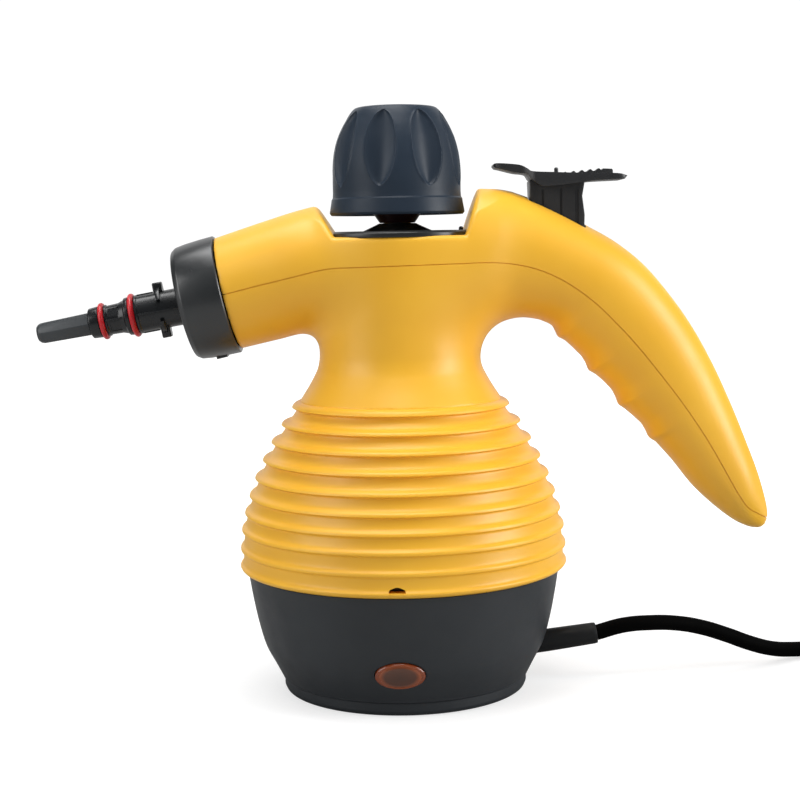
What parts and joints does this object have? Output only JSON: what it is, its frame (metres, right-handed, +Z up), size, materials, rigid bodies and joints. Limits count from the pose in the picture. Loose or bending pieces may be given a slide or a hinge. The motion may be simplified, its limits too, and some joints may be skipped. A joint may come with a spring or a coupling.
{
  "type": "handheld steam cleaner",
  "caption": "Handheld steam cleaner: ribbed boiler belly, spout with bayonet jet nozzle, screw safety cap, curved grip with thumb trigger, mains lead.",
  "frame": {"origin": "on the axis of the belly, at the level of the feet", "axes": "+X from the nozzle towards the handle, +Y away from the side with the lamp, +Z up along the belly's axis"},
  "size_m": [0.466, 0.2118, 0.2533],
  "materials": {
    "yellow_housing": "fine satin ABS",
    "dark_housing": "satin dark grey polypropylene",
    "black_trim": "semi-gloss black nylon",
    "red_seal": "smooth silicone",
    "maroon_seal": "smooth silicone",
    "black_rubber": "matt rubber",
    "cord_sheath": "matt PVC",
    "amber_lens": "translucent amber",
    "aluminium": "die-cast",
    "brass": "turned",
    "steel": "bright"
  },
  "bodies": {
    "root": {"upper_shell": "yellow_housing", "lower_shell": "yellow_housing", "base_cup": "dark_housing", "bottom_cover": "dark_housing", "nozzle_collar": "dark_housing", "jet_tip": "dark_housing", "nozzle_tube": "black_trim", "deck_plate": "black_trim", "filler_funnel": "black_trim", "filler_neck": "brass", "terminal_block": "black_trim", "thermostat": "black_trim", "o_ring_rear": "red_seal", "o_ring_front": "red_seal", "boiler_gasket": "red_seal", "boiler_lower": "aluminium", "boiler_upper": "aluminium", "foot_1": "black_rubber", "foot_2": "black_rubber", "foot_3": "black_rubber", "foot_4": "black_rubber", "cord_gland": "black_rubber", "plug": "black_rubber", "plug_pin_left": "brass", "plug_pin_right": "brass", "wire_live": "black_rubber", "wire_neutral": "black_rubber", "wire_earth": "black_rubber", "power_cord": "cord_sheath", "cord_coil": "cord_sheath", "cord_tail": "cord_sheath", "indicator_lens": "amber_lens", "indicator_lamp": "amber_lens", "valve_body": "brass", "inlet_tube": "brass", "outlet_tube": "brass", "trigger_spring": "steel", "heater_element": "steel", "thermal_fuse": "steel", "boiler_bolt_1": "steel", "boiler_bolt_2": "steel", "boiler_bolt_3": "steel", "boiler_bolt_4": "steel", "base_screw_1": "steel", "base_screw_2": "steel", "base_screw_3": "steel"},
    "trigger": {"trigger": "black_trim"},
    "trigger_lock": {"trigger_lock": "black_trim"},
    "valve_plunger": {"valve_plunger": "steel"},
    "cap_seal": {"cap_seal": "maroon_seal"},
    "cap_core": {"cap_plug": "black_trim", "cap_clip": "steel", "relief_screw": "brass", "relief_spring": "steel", "cap_spring": "steel"},
    "cap_shell": {"cap_shell": "dark_housing"},
    "relief_poppet": {"relief_poppet": "brass"}
  },
  "joints": [
    {"name": "trigger_press", "type": "slide", "parent": "root", "child": "trigger", "axis": [0, 0, -1], "range_m": [0, 0.005], "stiffness_N_per_m": 500, "springref_m": -0.004, "deforming": ["trigger_spring"]},
    {"name": "valve_press", "type": "slide", "parent": "root", "child": "valve_plunger", "axis": [0, 0, -1], "range_m": [0, 0.005]},
    {"name": "trigger_lock_slide", "type": "slide", "parent": "trigger", "child": "trigger_lock", "axis": [1, 0, 0], "range_m": [0, 0.003]},
    {"name": "cap_lift", "type": "slide", "parent": "root", "child": "cap_seal", "axis": [0, 0, 1], "range_m": [0, 0.0105]},
    {"name": "cap_turn", "type": "hinge", "parent": "cap_seal", "child": "cap_core", "pos_m": [0, 0, 0.208], "axis": [0, 0, 1], "range_deg": [0, 1260]},
    {"name": "cap_press", "type": "slide", "parent": "cap_core", "child": "cap_shell", "axis": [0, 0, -1], "range_m": [0, 0.0025], "stiffness_N_per_m": 700, "springref_m": -0.004, "deforming": ["cap_spring"]},
    {"name": "relief_lift", "type": "slide", "parent": "cap_core", "child": "relief_poppet", "axis": [0, 0, 1], "range_m": [0, 0.0015], "stiffness_N_per_m": 1500, "springref_m": -0.002, "deforming": ["relief_spring"]}
  ],
  "couplings": [
    {"joint": "valve_press", "follows": "trigger_press", "ratio": 1},
    {"joint": "cap_turn", "follows": "cap_lift", "rad_per_m": 2094.4}
  ]
}
